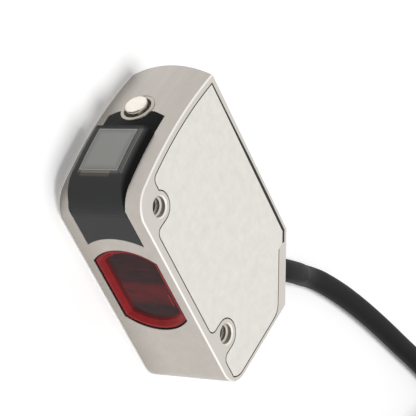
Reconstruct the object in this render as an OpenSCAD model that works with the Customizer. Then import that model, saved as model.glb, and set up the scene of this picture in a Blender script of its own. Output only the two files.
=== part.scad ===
// Laser photoelectric sensor with a display, one button and a free cable.
// The body stands on its heel, the front face looks along -X, the top along +Y.
// It lies on its blank mounting side, z = 0, and the cover side is up.
// The origin is the middle of the two mounting holes, on the mounting side.

/* [Body] */
// Depth from the front face to the back, at the sides
body_depth = 26; // [25:0.5:29]
// Rise of the highest point of the top above the upper mounting hole
top_rise = 6.4; // [5.8:0.1:8.6]
// Thickness from the mounting side to the cover side
body_thk = 14.8; // [14.6:0.1:16.4]
// Radius of the long arc of the top
top_r = 66; // [58:1:80]
// Distance of the highest point from the front face
peak_x = 19.6; // [19:0.1:20.4]
// Radius of the upper front corner
corner_r = 4.4; // [4:0.1:5]
// Radius of the toe, the lower front corner
toe_r = 3.6; // [3:0.1:4]
// Rise of the crowned top at mid thickness
crown = 1.4; // [1:0.1:1.8]
// Bulge of the back at mid thickness
back_bulge = 0.7; // [0.3:0.1:1.2]
// Run of the heel's slope along the bottom
heel_run = 8; // [7:0.5:9]
// Where the slope of the heel meets the back, above the bottom
heel_y = 9; // [8:0.5:10]
// Width of the bright bevel along the edges of both sides
edge_cut = 0.2; // [0.1:0.05:0.4]
// Thickness of the front, top, back and bottom walls
wall = 1.6; // [1.4:0.1:1.8]
// Thickness of the wall on the mounting side
base_wall = 1.2; // [0.8:0.1:1.6]

/* [Mounting holes] */
// Distance of both holes from the front face
hole_x = 4.2; // [4:0.1:4.6]
// Height of the lower hole above the bottom
hole_y = 8; // [7.5:0.1:8.5]
// Distance between the two holes
hole_pitch = 25.4; // [25:0.1:25.8]
// Radius of the threaded holes
hole_r = 1.5; // [1.2:0.05:1.6]
// Radius of the countersink at each mouth
mouth_r = 1.7; // [1.6:0.05:2]
// Radius of the bosses round the holes
boss_r = 2.25; // [2.15:0.05:2.5]

/* [Side cover] */
// Thickness of the cover plate
cover_thk = 0.9; // [0.6:0.1:1.2]
// Thickness of the gasket under the cover plate
cover_seal_thk = 0.2; // [0.1:0.05:0.4]
// Gap of the seam round the cover plate
seam = 0.2; // [0.1:0.05:0.3]
// Width of the rim along the top and the back
rim_w = 0.85; // [0.6:0.05:1.1]
// Width of the rim along the bottom
bottom_rim_w = 0.65; // [0.5:0.05:0.9]
// Width of the rim along the heel
heel_rim_w = 1.85; // [1.5:0.05:2.2]
// Width of the land along the front edge
land_w = 1.3; // [1:0.05:1.5]
// Reach of the land above the upper boss, from the front face
land_top_x = 5.45; // [5:0.05:6]
// Radius of the plate's corners beside the bosses
plate_corner_r = 1.25; // [0.8:0.05:1.5]
// Radius of the plate's corner between the bottom and the heel
plate_heel_r = 2.9; // [1:0.1:3.5]
// Width of the ledge that carries the gasket
ledge_w = 0.4; // [0.3:0.05:0.5]

/* [Display window] */
// Half width of the smoked window
window_half_w = 5.1; // [4.8:0.1:5.4]
// Height of its raised block above the crown
block_rise = 0.95; // [0.6:0.05:1.2]
// Where the raised block ends, from the front face
block_end = 12; // [11.8:0.1:12.4]
// Radius of the raised block's front corner
block_corner_r = 5.6; // [5.2:0.1:6]
// Radius of the raised block's shoulders
shoulder_r = 0.9; // [0.6:0.1:1.1]
// Where the flush end of the window stops, from the front face
window_end = 16.15; // [15.8:0.05:16.4]
// Gap between the window's lower edge and the arc of the lens window
window_to_lens = 2.2; // [1.8:0.1:3]
// Thickness of the window's top and sides
window_wall = 0.9; // [0.8:0.05:1.1]
// Thickness of the gasket under the window
window_seal_thk = 0.2; // [0.1:0.05:0.3]
// Length of the screen along the top
screen_l = 7.9; // [7:0.1:8.4]
// Width of the screen across the top
screen_w = 7.3; // [6.5:0.1:7.6]
// Middle of the screen, from the front face
screen_x = 7.5; // [7.3:0.1:7.7]
// Depth of the screen's inlay
screen_thk = 0.2; // [0.1:0.05:0.3]

/* [Button] */
// Distance of the button from the front face
button_x = 16.6; // [16.4:0.05:16.8]
// Radius of the cap
cap_r = 1.75; // [1.6:0.05:1.85]
// Height of the cap above its collar
cap_rise = 1; // [0.7:0.05:1.2]
// Outer radius of the collar
collar_r = 2.65; // [2.55:0.05:2.8]
// Wall of the collar round the recess
collar_wall = 0.5; // [0.4:0.05:0.6]
// Height of the collar above the crown
collar_rise = 0; // [0:0.05:0.3]
// Travel of the cap
button_travel = 0.4; // [0.2:0.05:0.4]
// Radius of the stem
stem_r = 0.7; // [0.6:0.05:0.8]
// Radial clearance of the stem in its bore
stem_gap = 0.05; // [0.03:0.01:0.08]

/* [Lens window] */
// Half width of the lens window
lens_half_w = 5.75; // [5.4:0.05:5.9]
// Top of the lens window, at mid thickness
lens_top = 28.5; // [28:0.1:29]
// Bottom of the lens window, at mid thickness
lens_bottom = 12.4; // [12.2:0.1:13.4]
// Radius of its curved ends
lens_end_r = 8.2; // [7.8:0.1:9.4]
// Thickness of the red plate
lens_thk = 0.9; // [0.7:0.05:1]
// Thickness of the gasket behind the red plate
lens_seal_thk = 0.3; // [0.2:0.05:0.4]
// Width of the ledge behind the red plate
lens_ledge = 1; // [0.6:0.1:1.2]

/* [Optics] */
// Depth behind the moulded optics frame, for the boards and the wires
board_bay = 12.05; // [11.6:0.05:12.5]
// Height of the emitter above the bottom
emitter_y = 25.4; // [25:0.1:26]
// Radius of the emitter's collimating lens
emitter_r = 1.9; // [1.6:0.1:2.1]
// Height of the receiver above the bottom
receiver_y = 17.2; // [16.8:0.1:17.6]
// Radius of the receiver's lens
receiver_r = 3.4; // [3:0.1:3.6]
// Thickness at the edge of both lenses
lens_edge = 0.8; // [0.6:0.1:1.2]
// Rise of the domed side of both lenses
lens_dome = 0.6; // [0.3:0.1:0.9]

/* [Boards] */
// Thickness of the circuit boards
board_thk = 0.8; // [0.6:0.1:1]
// Height of the main board above the inside of the mounting side
post_h = 1.8; // [1.5:0.1:2.2]
// Radius of the posts under the main board
post_r = 1.1; // [1:0.1:1.3]
// Radius of the board screws
screw_r = 0.6; // [0.5:0.05:0.7]

/* [Cable] */
// Radius of the cable
cable_r = 1.85; // [1.7:0.05:1.9]
// Outer radius of the gland in the heel
gland_r = 2.6; // [2.5:0.05:2.8]
// Length of the rubber boot outside the gland
boot_l = 3; // [2:0.25:3.25]
// Middle radius of the coil of spare cable
coil_r = 18.5; // [18.5:0.5:21]
// Turns across the coil
coil_turns_across = 4; // [3:1:5]
// Layers of turns in the coil
coil_layers = 4; // [3:1:4]
// Width of the tie round the coil
tie_w = 4; // [3:0.5:6]
// Thickness of the tie round the coil
tie_thk = 0.8; // [0.5:0.1:1.2]
// Length of the jacket's end that lies on the coil
tail_l = 20; // [15:1:30]
// Length of the bare cores at the far end
core_l = 28; // [20:1:40]
// Radius of the insulation of one core
core_r = 0.45; // [0.35:0.05:0.5]

/* [Hidden] */
$fn = 64;

// Clearances and small common sizes
fit_gap = 0.05;
seat_gap = 0.15;
over = 1;
far = 60;
arc_steps = 12;

mid_z = body_thk / 2;
mid_y = hole_y + hole_pitch / 2;
hole_ys = [hole_y, hole_y + hole_pitch];
body_height = hole_ys[1] + top_rise;

// Centres of the top arc, the upper front corner and the toe
top_c = [peak_x, body_height - top_r];
corner_c = wrap_corner(0, top_r, corner_r);
toe_c = [toe_r, toe_r];
top_join = ray_angle(corner_c);

// Radius of the arc that a rise at mid thickness belongs to
crown_arc_r = rise_radius(crown);
back_arc_r = rise_radius(back_bulge);
crown_steps = 16;

// Unit normal of the heel's slope, outward, the point where the cable leaves, and its direction
heel_x = body_depth - heel_run;
exit_share = 0.47;
heel_n = [heel_y, -heel_run] / norm([heel_run, heel_y]);
heel_mid = [heel_x + exit_share * heel_run, exit_share * heel_y];
heel_angle = atan2(heel_n[1], heel_n[0]);
heel_wall = heel_rim_w + ledge_w + 0.2;

// Inner faces: front wall, cover plate, ledge of its gasket, ceiling
front_wall = max(wall, land_w + ledge_w);
cover_z = body_thk - cover_thk;
ledge_z = cover_z - cover_seal_thk;
ceiling_r = top_r - wall;

// Display window
block_r = top_r + crown + block_rise;
window_leaf = wall - 0.5 - window_seal_thk;
window_depth = window_leaf + window_seal_thk;
window_seat_r = top_r + window_seal_thk;
window_open_half = window_half_w - window_wall;
window_open_end = block_end - 0.4;
window_arc_r = lens_end_r + window_to_lens;
block_corner_c = wrap_corner(0, block_r, block_corner_r);
block_join = ray_angle(block_corner_c);

// Display stack, along a radius a little in front of the screen's middle
module_x = screen_x - 0.35;
module_l = 7.2;
module_w = 2 * window_open_half - 0.6;
module_h = 1.3;
module_top_r = block_r - window_wall - 0.3;
display_board_l = 7.6;
led_l = 0.8;

// Button, along Y
crown_at_button = arc_height(top_r + crown, button_x);
collar_top = crown_at_button + collar_rise;
collar_bottom = arc_height(ceiling_r, button_x);
cap_top = collar_top + cap_rise;
collar_floor = 1.2;
cap_clear = 0.3;
cap_bottom = collar_bottom + collar_floor + button_travel + cap_clear;
seal_wire_r = 0.3;
seal_pocket = 2 * seal_wire_r + 0.1;
plunger_top = collar_bottom - 0.13;
plunger_r = 1;
plunger_h = 1.15;
plunger_in_case = 0.55;
switch_top = plunger_top - plunger_h + plunger_in_case;
switch_w = 4.5;
switch_h = 1.7;
switch_board_top = switch_top - switch_h;
switch_board_l = 7.6;
switch_board_x = button_x - switch_board_l / 3;

// Optics
frame_x = front_wall + seat_gap;
frame_back = body_depth - wall - board_bay;
frame_depth = frame_back - frame_x;
frame_y0 = hole_y + boss_r + ledge_w + 0.4;
frame_y1 = hole_y + hole_pitch - boss_r - ledge_w - 0.4;
frame_z0 = base_wall + seat_gap;
frame_z1 = cover_z - 0.3;
lens_seat_x = frame_x + 0.6;
sensor_board_x = frame_back + 0.1;
sensor_board_y0 = frame_y0 + 0.4;
sensor_board_y1 = frame_y1 + 0.3;

// Boards
main_board_x0 = sensor_board_x + board_thk + 0.3;
main_board_x1 = body_depth - wall - 0.4;
main_board_y0 = heel_at_x(main_board_x1, heel_wall) + 0.3;
main_board_y1 = switch_board_top - board_thk - 0.1;
main_board_w = main_board_x1 - main_board_x0;
main_board_l = main_board_y1 - main_board_y0;
main_board_z = base_wall + post_h;
post_inset = post_r + 0.5;
post_at = [
    [main_board_x0 + post_inset, main_board_y0 + main_board_l / 3],
    [main_board_x1 - post_inset, main_board_y1 - post_inset]
];

// Processor, driver and regulator: corner and size in shares of the board's width and length,
// and height in board thicknesses
chips = [
    [0.345, 0.43, 0.48, 0.2, 1.125],
    [0.535, 0.13, 0.305, 0.18, 1.375],
    [0.365, 0.735, 0.23, 0.12, 1.25]
];

// Gland and cable root, measured along the heel's normal
gland_in = heel_wall + 1.6;
gland_out = 0.5;
root_in = gland_in + 2.4;
boot_end = gland_out + boot_l;

// Free cable: its route from the boot's end to the coil, as it lies on the table,
// with x and y measured from that end
cable_start = [for (k = [0, 1]) heel_mid[k] + heel_n[k] * boot_end];
cable_floor = cable_r;
cable_steps = [
    [0, 0, mid_z],
    [2.28, -2.17, 7.4],
    [4.78, -5.17, 7.2],
    [7.38, -8.17, 6.4],
    [9.98, -11.17, 5.1],
    [12.58, -14.17, 3.3],
    [15.18, -17.17, 2.1],
    [17.78, -20.87, cable_floor],
    [21.08, -26.97, cable_floor],
    [24.18, -33.77, cable_floor],
    [27.08, -41.07, cable_floor],
    [29.88, -48.77, cable_floor],
    [32.78, -56.77, cable_floor],
    [35.28, -64.47, cable_floor],
    [37.58, -71.87, cable_floor],
    [39.68, -79.17, cable_floor],
    [41.53, -86.17, cable_floor]
];
cable_route = [for (p = cable_steps) [cable_start[0] + p[0], cable_start[1] + p[1], p[2]]];
coil_c = cable_start + [18.08, -92.48];
turn_gap = 0.15;
coil_half_w = coil_turns_across * (cable_r + turn_gap / 2);
coil_h = coil_layers * (2 * cable_r + turn_gap / 2);
tie_angle = 120;
jacket_end = 232;
tail_r = coil_r + cable_r;

// Height of an arc about the top's centre, and the direction of a point from there
function arc_height(r, x) = top_c[1] + sqrt(r * r - pow(x - top_c[0], 2));
function ray_angle(p) = atan2(p[1] - top_c[1], p[0] - top_c[0]);
function on_arc_angle(x, r) = acos((x - top_c[0]) / r) - 90;
function on_arc_point(x, r, p) =
    let (a = on_arc_angle(x, r))
    [for (k = [0, 1]) top_c[k] + p[0] * [cos(a), sin(a)][k] + (r + p[1]) * [-sin(a), cos(a)][k]];
function rise_radius(rise) = (mid_z * mid_z + rise * rise) / (2 * rise);
function rise_at(z, rise, r) = sqrt(r * r - pow(z - mid_z, 2)) - r + rise;

// Points of an arc, and the points from x0 round a front corner and along the top to x1
function arc(c, r, a0, a1, n = arc_steps) =
    [for (i = [0:n]) let (a = a0 + (a1 - a0) * i / n) [c[0] + r * cos(a), c[1] + r * sin(a)]];
function wrap_corner(x0, r, corner) =
    [x0 + corner, top_c[1] + sqrt(pow(r - corner, 2) - pow(x0 + corner - top_c[0], 2))];
function wrap(x0, r, corner, x1) =
    let (c = wrap_corner(x0, r, corner), join = ray_angle(c))
    concat(
        arc(c, corner, 180, join),
        [for (p = arc(top_c, r, join, acos((x1 - top_c[0]) / r), 20)) if (p[0] > c[0]) p]
    );

// The heel's slope moved inward by d, at a given x or y
function heel_at_x(x, d) = (heel_n[0] * (heel_x - x) - d) / heel_n[1];
function heel_at_y(y, d) = heel_x - (d + heel_n[1] * y) / heel_n[0];

// The side outline moved inward by d, and by heel_d along the heel
function side_points(d, heel_d) = concat(
    wrap(d, top_r - d, corner_r - d, body_depth - d),
    [
        [body_depth - d, heel_at_x(body_depth - d, heel_d)],
        [heel_at_y(d, heel_d), d]
    ],
    arc(toe_c, toe_r - d, 270, 180)
);

// Outline of the cover plate, drawn in by g all round: clockwise from the upper front
function plate_points(g) =
    let (
        x0 = land_w + g,
        corner = plate_corner_r - g,
        back = body_depth - rim_w - g,
        top = top_r - rim_w - g,
        low = bottom_rim_w + g,
        inner = heel_rim_w + g,
        outer = rim_w + g,
        boss = boss_r + g,
        top_corner = wrap_corner(land_top_x + g, top, corner),
        heel_corner_y = low + plate_heel_r,
        heel_corner_x = heel_at_y(heel_corner_y, inner + plate_heel_r),
        step_y = heel_y - 1,
        toe = toe_r - low,
        toe_turn = acos((toe_c[0] - x0) / toe)
    )
    concat(
        arc(top_corner, corner, 180, ray_angle(top_corner), 6),
        arc(top_c, top, ray_angle(top_corner) - 1, acos((back - top_c[0]) / top), 16),
        [
            [back, heel_at_x(back, outer)],
            [heel_at_y(step_y, outer), step_y],
            [heel_at_y(step_y, inner), step_y]
        ],
        arc([heel_corner_x, heel_corner_y], plate_heel_r, heel_angle, -90, 6),
        arc(toe_c, toe, 270, 180 + toe_turn, 6),
        arc([x0 + corner, hole_ys[0] - boss - corner], corner, 180, 90, 6),
        arc([hole_x, hole_ys[0]], boss, -90, 90),
        arc([x0 + corner, hole_ys[0] + boss + corner], corner, 270, 180, 6),
        arc([x0 + corner, hole_ys[1] - boss - corner], corner, 180, 90, 6),
        arc([hole_x, hole_ys[1]], boss, -90, acos((land_top_x + g - hole_x) / boss))
    );

// Every piece is drawn from the front lower corner and moved to the middle of the holes
module framed(tint) {
    translate([-hole_x, -mid_y, 0]) color(tint) children();
}

// Extrusions of a shape drawn from the side, from the front (z across, y up) and from above (x, z)
module from_side(z0, z1) {
    translate([0, 0, z0]) linear_extrude(z1 - z0) children();
}
module from_front(x0, x1) {
    translate([x0, 0, mid_z]) rotate([0, 90, 0]) linear_extrude(x1 - x0) children();
}
module from_above(y0, y1) {
    translate([0, y1, 0]) rotate([90, 0, 0]) linear_extrude(y1 - y0) children();
}
module round_x(x0, x1, y, r) {
    translate([x0, y, mid_z]) rotate([0, 90, 0]) cylinder(h = x1 - x0, r = r);
}
module round_y(y0, y1, x, r) {
    translate([x, y1, mid_z]) rotate([90, 0, 0]) cylinder(h = y1 - y0, r = r);
}

// A profile turned about a vertical axis at c, from one angle to another
module turned(c, a0, a1) {
    translate([c[0], c[1], 0]) rotate([0, 0, a0]) rotate_extrude(angle = a1 - a0, $fn = 200) children();
}

// The crowned profile over a side arc of radius r, closed at another radius.
// An inner one gives the body below the crown, an outer one what is cut away above it.
module crown_profile(r, closed) {
    past = closed > r ? over : 0;
    rows = [for (i = [0:crown_steps]) edge_cut + (body_thk - 2 * edge_cut) * i / crown_steps];
    polygon(concat(
        [[closed, -past], [r - edge_cut - past, -past]],
        [for (z = rows) [r + rise_at(z, crown, crown_arc_r), z]],
        [[r - edge_cut - past, body_thk + past], [closed, body_thk + past]]
    ));
}

// Local frames: on the display's radius with y outward, and at the heel with z outward
module on_arc(x, r) {
    translate([top_c[0], top_c[1], mid_z])
        rotate([0, 0, on_arc_angle(x, r)]) translate([0, r, 0]) children();
}
module at_heel() {
    translate([heel_mid[0], heel_mid[1], mid_z]) rotate([0, 0, heel_angle]) rotate([0, 90, 0]) children();
}
module heel_tube(z0, z1, outer, inner) {
    translate([0, 0, z0]) difference() {
        cylinder(h = z1 - z0, r = outer);
        translate([0, 0, -over]) cylinder(h = z1 - z0 + 2 * over, r = inner);
    }
}

// Outer form: crowned top, bulged back, sloping heel, round toe and bevelled edges
module body_form() {
    rear = body_depth + back_bulge + over;
    top_start = acos((rear + over - top_c[0]) / top_r);
    difference() {
        difference() {
            difference() {
                body_blank(rear, body_height + crown + over);
                turned(top_c, top_start, top_join + 10) crown_profile(top_r, top_r + corner_r + 8);
            }
            // The two arcs touch at the join and still agree half a degree further on
            turned(corner_c, top_join + 0.5, 180) crown_profile(corner_r, corner_r + 8);
        }
        toe_cut();
    }
}

// Side outline, plan and front section, each drawn through the other two
module body_blank(rear, tall) {
    intersection() {
        from_side(0, body_thk) polygon([
            [0, 0], [heel_x, 0], [rear, heel_at_x(rear, 0)], [rear, tall], [0, tall]
        ]);
        from_above(0, tall) polygon(concat(
            [[edge_cut, 0], [0, edge_cut], [0, body_thk - edge_cut], [edge_cut, body_thk]],
            [
                for (i = [0:crown_steps])
                    let (z = body_thk * (1 - i / crown_steps))
                        [body_depth + rise_at(z, back_bulge, back_arc_r), z]
            ]
        ));
        translate([rear, 0, 0]) rotate([0, -90, 0]) linear_extrude(rear) polygon([
            [edge_cut, 0], [body_thk - edge_cut, 0], [body_thk, edge_cut],
            [body_thk, tall], [0, tall], [0, edge_cut]
        ]);
    }
}

// What rounds the toe, with its bevels
module toe_cut() {
    difference() {
        translate([-over, -over, -over]) cube([toe_r + over, toe_r + over, body_thk + 2 * over]);
        translate([toe_c[0], toe_c[1], 0]) rotate_extrude() polygon([
            [0, 0], [toe_r - edge_cut, 0], [toe_r, edge_cut],
            [toe_r, body_thk - edge_cut], [toe_r - edge_cut, body_thk], [0, body_thk]
        ]);
    }
}

// The inside: the side outline less its walls, kept clear of the bosses and of the plate's ledge
module cavity_shape() {
    intersection() {
        polygon(side_points(wall, heel_wall));
        polygon(plate_points(ledge_w));
    }
}

module mounting_hole(y) {
    mouth = mouth_r - hole_r;
    translate([hole_x, y, -over]) cylinder(h = body_thk + 2 * over, r = hole_r);
    translate([hole_x, y, 0]) cylinder(h = mouth, r1 = mouth_r, r2 = hole_r);
    translate([hole_x, y, body_thk - mouth]) cylinder(h = mouth, r1 = hole_r, r2 = mouth_r);
}

// The lens window's outline, drawn in by g
module lens_shape(g) {
    intersection() {
        translate([0, lens_top - lens_end_r]) circle(lens_end_r - g);
        translate([0, lens_bottom + lens_end_r]) circle(lens_end_r - g);
        translate([g - lens_half_w, 0]) square([2 * (lens_half_w - g), body_height]);
    }
}

// The display window seen from above, drawn in by g: cut corners and a bay for the collar
module window_plan(g) {
    cut = [0.5, 1.8];
    w = window_half_w - g;
    end = window_end - g;
    difference() {
        polygon([
            [-over, mid_z - w], [end - cut[0], mid_z - w], [end, mid_z - w + cut[1]],
            [end, mid_z + w - cut[1]], [end - cut[0], mid_z + w], [-over, mid_z + w]
        ]);
        translate([button_x, mid_z]) circle(collar_r + g);
    }
}

// Everything between two wrapped curves, seen from the side and cut to the window's plan
module window_band(outer, inner, g) {
    low = lens_top - lens_end_r;
    difference() {
        intersection() {
            from_side(0, body_thk) difference() {
                polygon(concat(outer, [[outer[len(outer) - 1][0], low], [outer[0][0], low]]));
                polygon(concat(inner, [[inner[len(inner) - 1][0], 0], [inner[0][0], 0]]));
            }
            from_above(low, far) window_plan(g);
        }
        round_x(-over, body_depth, low, window_arc_r + g);
    }
}

// The seat of the window in the housing, on its gasket when lift is the gasket's thickness
function window_seat(lift) = wrap(
    window_depth - lift, top_r + lift, corner_r - window_depth + lift, window_end + over
);

module housing() {
    framed("silver") union() {
        housing_shell();
        for (p = post_at) board_post(p);
    }
}

module housing_shell() {
    difference() {
        body_form();
        from_side(ledge_z, body_thk + over) polygon(plate_points(0));
        from_side(base_wall, body_thk) cavity_shape();
        for (y = hole_ys) mounting_hole(y);
        window_band(wrap(-over, block_r + over, block_corner_r, window_end + over), window_seat(0), 0);
        from_above(corner_c[1] + 2.3, far) translate([wall, mid_z - window_open_half])
            square([window_open_end - wall, 2 * window_open_half]);
        round_y(collar_bottom - over, far, button_x, collar_r + fit_gap / 2);
        from_front(-over, lens_thk + lens_seal_thk) lens_shape(0);
        from_front(0, front_wall + over) lens_shape(lens_ledge);
        at_heel() translate([0, 0, -heel_wall - over]) cylinder(h = heel_wall + 2 * over, r = gland_r + fit_gap);
    }
}

module board_post(p) {
    rooted = base_wall / 2;
    translate([p[0], p[1], base_wall - rooted]) difference() {
        cylinder(h = post_h + rooted, r = post_r);
        translate([0, 0, rooted]) cylinder(h = post_h + over, r = screw_r);
    }
}

module side_cover() {
    framed("gainsboro") from_side(cover_z, body_thk) polygon(plate_points(seam));
}

module cover_seal() {
    framed("dimgray") from_side(ledge_z, cover_z) difference() {
        polygon(plate_points(seam));
        cavity_shape();
    }
}

// Smoked window: raised block with rounded shoulders and a flush end behind it
module display_window() {
    outer = wrap(0, block_r, block_corner_r, window_end + over);
    inner = wrap(window_leaf, block_r - window_wall, block_corner_r - window_leaf, block_end - window_wall);
    tail_start = acos((window_end + 2 * over - top_c[0]) / block_r);
    tail_end = acos((block_end - top_c[0]) / block_r);
    framed([0.13, 0.13, 0.14]) difference() {
        difference() {
            window_band(outer, window_seat(window_seal_thk), fit_gap);
            turned(top_c, tail_start, tail_end) crown_profile(top_r, block_r + over);
        }
        shoulder_cuts();
        from_side(mid_z - window_open_half, mid_z + window_open_half)
            polygon(concat(inner, [[block_end - window_wall, body_height - 8], [window_leaf, body_height - 5]]));
        screen_inlay(fit_gap, over);
    }
}

// What rounds the block's two shoulders along its top and its front corner.
// Each end of the rounding runs out straight, at a slight angle to the face it meets.
module shoulder_profile(r) {
    w = window_half_w - fit_gap;
    c = [r - shoulder_r, w - shoulder_r];
    lead = 12;
    run = 0.5;
    rounding = concat(
        [c + shoulder_r * [cos(lead), sin(lead)] + run * [sin(lead), -cos(lead)]],
        arc(c, shoulder_r, lead, 90 - lead, 5),
        [c + shoulder_r * [sin(lead), cos(lead)] + run * [-cos(lead), sin(lead)]]
    );
    outside = [[rounding[7][0], w + over], [r + over, w + over], [r + over, rounding[0][1]]];
    for (side = [-1, 1])
        polygon([for (p = concat(rounding, outside)) [p[0], mid_z + side * p[1]]]);
}
module shoulder_cuts() {
    fade = 0.45;
    away = block_join + 90;
    turned(top_c, acos((block_end + over - top_c[0]) / block_r), block_join + 3) shoulder_profile(block_r);
    // Off centre, so that the rounding of the front corner fades out towards the front face
    turned(block_corner_c + fade * [cos(away), sin(away)], block_join + 2.5, 179)
        shoulder_profile(block_corner_r);
}

// The screen's inlay in the window's top
module screen_inlay(grow, up) {
    half_l = screen_l / 2 + grow;
    half_w = screen_w / 2 + grow;
    low = corner_c[1];
    outer = wrap(-up, block_r + up, block_corner_r + up, window_end);
    inner = wrap(screen_thk, block_r - screen_thk, block_corner_r - screen_thk, window_end + over);
    intersection() {
        from_side(mid_z - half_w, mid_z + half_w) difference() {
            polygon(concat(outer, [[window_end, low], [-up, low]]));
            polygon(concat(inner, [[window_end + over, low - over], [screen_thk, low - over]]));
        }
        from_above(low + over, far) translate([screen_x - half_l, 0]) square([2 * half_l, body_thk]);
    }
}

module display_glass() {
    framed("gray") screen_inlay(0, 0);
}

module window_seal() {
    framed("black") difference() {
        window_band(window_seat(window_seal_thk), window_seat(0), fit_gap);
        from_above(corner_c[1], far) translate([wall, mid_z - window_open_half])
            square([window_open_end - wall, 2 * window_open_half]);
    }
}

module display_module() {
    framed("darkslategray") on_arc(module_x, module_top_r)
        translate([-module_l / 2, -module_h, -module_w / 2]) cube([module_l, module_h, module_w]);
}

module display_board() {
    framed("darkgreen") on_arc(module_x, module_top_r)
        translate([-display_board_l / 2, -module_h - board_thk, -module_w / 2])
            cube([display_board_l, board_thk, module_w]);
}

// Two lamps under the front end of the display board's row
module indicator_leds() {
    framed("orange") on_arc(module_x, module_top_r) for (side = [-1, 1])
        translate([-module_l / 2, -module_h - board_thk - 0.6, side * 2 - led_l / 2]) cube([led_l, 0.6, led_l]);
}

// Flat flex from under the display board, down and over to the top of the sensor board
module display_flex() {
    w = 4;
    thk = 0.15;
    lap = 2;
    under = -module_h - board_thk - thk;
    end = on_arc_point(module_x, module_top_r, [display_board_l / 2, under]);
    x0 = min(end[0] - thk, sensor_board_x);
    x1 = max(end[0], sensor_board_x + board_thk);
    framed("goldenrod") {
        on_arc(module_x, module_top_r)
            translate([display_board_l / 2 - lap, under, -w / 2]) cube([lap, thk, w]);
        translate([end[0] - thk, sensor_board_y1, mid_z - w / 2])
            cube([thk, end[1] + thk / 2 - sensor_board_y1, w]);
        translate([x0, sensor_board_y1, mid_z - w / 2]) cube([x1 - x0, thk, w]);
    }
}

module button_collar() {
    framed("whitesmoke") difference() {
        round_y(collar_bottom, collar_top, button_x, collar_r);
        round_y(collar_bottom + collar_floor, far, button_x, collar_r - collar_wall);
        round_y(0, far, button_x, stem_r + stem_gap);
        round_y(collar_bottom - over, collar_bottom + seal_pocket, button_x, stem_r + 2 * seal_wire_r + 0.1);
    }
}

// Domed cap on its stem
module button() {
    edge = 0.35;
    h = cap_top - cap_bottom;
    framed("dimgray") {
        translate([button_x, cap_bottom, mid_z]) rotate([-90, 0, 0]) rotate_extrude() polygon(concat(
            [[0, 0], [cap_r, 0]],
            arc([cap_r - edge, h - edge - 0.1], edge, 0, 75, 6),
            [[cap_r / 2, h - 0.03], [0, h]]
        ));
        round_y(plunger_top, cap_bottom, button_x, stem_r);
    }
}

module stem_seal() {
    framed("black") translate([button_x, collar_bottom + seal_pocket / 2, mid_z]) rotate([90, 0, 0])
        rotate_extrude() translate([stem_r + stem_gap + seal_wire_r, 0]) circle(seal_wire_r, $fn = 24);
}

module switch_plunger() {
    framed("black") round_y(plunger_top - plunger_h, plunger_top, button_x, plunger_r);
}

// Snap switch: a square case with a round well for its plunger
module tactile_switch() {
    well = plunger_in_case + button_travel + 0.1;
    framed("darkgray") difference() {
        translate([button_x - switch_w / 2, switch_board_top, mid_z - switch_w / 2])
            cube([switch_w, switch_h, switch_w]);
        round_y(switch_top - well, switch_top + over, button_x, plunger_r + fit_gap);
    }
}

module switch_board() {
    w = 9.6;
    framed("darkgreen") translate([switch_board_x, switch_board_top - board_thk, mid_z - w / 2])
        cube([switch_board_l, board_thk, w]);
}

module lens_window() {
    framed([0.55, 0.1, 0.12]) from_front(0, lens_thk) lens_shape(fit_gap);
}

module lens_seal() {
    framed("black") from_front(lens_thk, lens_thk + lens_seal_thk) difference() {
        lens_shape(fit_gap);
        lens_shape(lens_ledge);
    }
}

// Moulded block with the bores of the emitter and the receiver
module optics_frame() {
    framed([0.1, 0.1, 0.1]) difference() {
        translate([frame_x, frame_y0, frame_z0])
            cube([frame_depth, frame_y1 - frame_y0, frame_z1 - frame_z0]);
        round_x(frame_x - over, frame_back + over, emitter_y, emitter_r - 0.4);
        round_x(frame_x - over, lens_seat_x + lens_edge + lens_dome, emitter_y, emitter_r + fit_gap);
        round_x(frame_back - 3.2, frame_back + over, emitter_y, emitter_r + fit_gap);
        round_x(frame_x - over, frame_back + over, receiver_y, receiver_r - 0.6);
        round_x(frame_x - over, lens_seat_x + lens_edge + lens_dome, receiver_y, receiver_r + fit_gap);
    }
}

// Plano-convex lens, domed towards the front, with its flat side at x
module round_lens(x, y, r) {
    dome_r = (r * r + lens_dome * lens_dome) / (2 * lens_dome);
    half = asin(r / dome_r);
    translate([x, y, mid_z]) rotate([0, -90, 0]) rotate_extrude() polygon(concat(
        [[0, 0], [r, 0]],
        [
            for (p = arc([0, lens_edge + lens_dome - dome_r], dome_r, 90 - half, 90, 8))
                [max(0, p[0]), p[1]]
        ]
    ));
}

module emitter_lens() {
    framed("lightcyan") round_lens(lens_seat_x + lens_edge + lens_dome, emitter_y, emitter_r);
}

module receiver_lens() {
    framed("lightcyan") round_lens(lens_seat_x + lens_edge + lens_dome, receiver_y, receiver_r);
}

// Laser diode: flanged can with its window towards the collimating lens
module laser_diode() {
    framed("gold") {
        round_x(frame_back - 1, frame_back, emitter_y, emitter_r);
        round_x(frame_back - 3, frame_back - 1, emitter_y, emitter_r - 0.5);
    }
}

module image_sensor() {
    w = 4;
    framed([0.15, 0.15, 0.17]) translate([sensor_board_x - 1, receiver_y - w / 2, mid_z - w / 2])
        cube([1, w, w]);
}

module sensor_board() {
    framed("darkgreen") translate([sensor_board_x, sensor_board_y0, frame_z0 + 0.3])
        cube([board_thk, sensor_board_y1 - sensor_board_y0, frame_z1 - frame_z0 - 0.6]);
}

module main_board() {
    framed("darkgreen") difference() {
        translate([main_board_x0, main_board_y0, main_board_z])
            cube([main_board_x1 - main_board_x0, main_board_y1 - main_board_y0, board_thk]);
        for (p = post_at) translate([p[0], p[1], 0]) cylinder(h = body_thk, r = screw_r + 0.1);
    }
}

module board_chips() {
    framed("black") translate([main_board_x0, main_board_y0, main_board_z + board_thk])
        for (c = chips)
            translate([c[0] * main_board_w, c[1] * main_board_l, 0])
                cube([c[2] * main_board_w, c[3] * main_board_l, c[4] * board_thk]);
}

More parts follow.
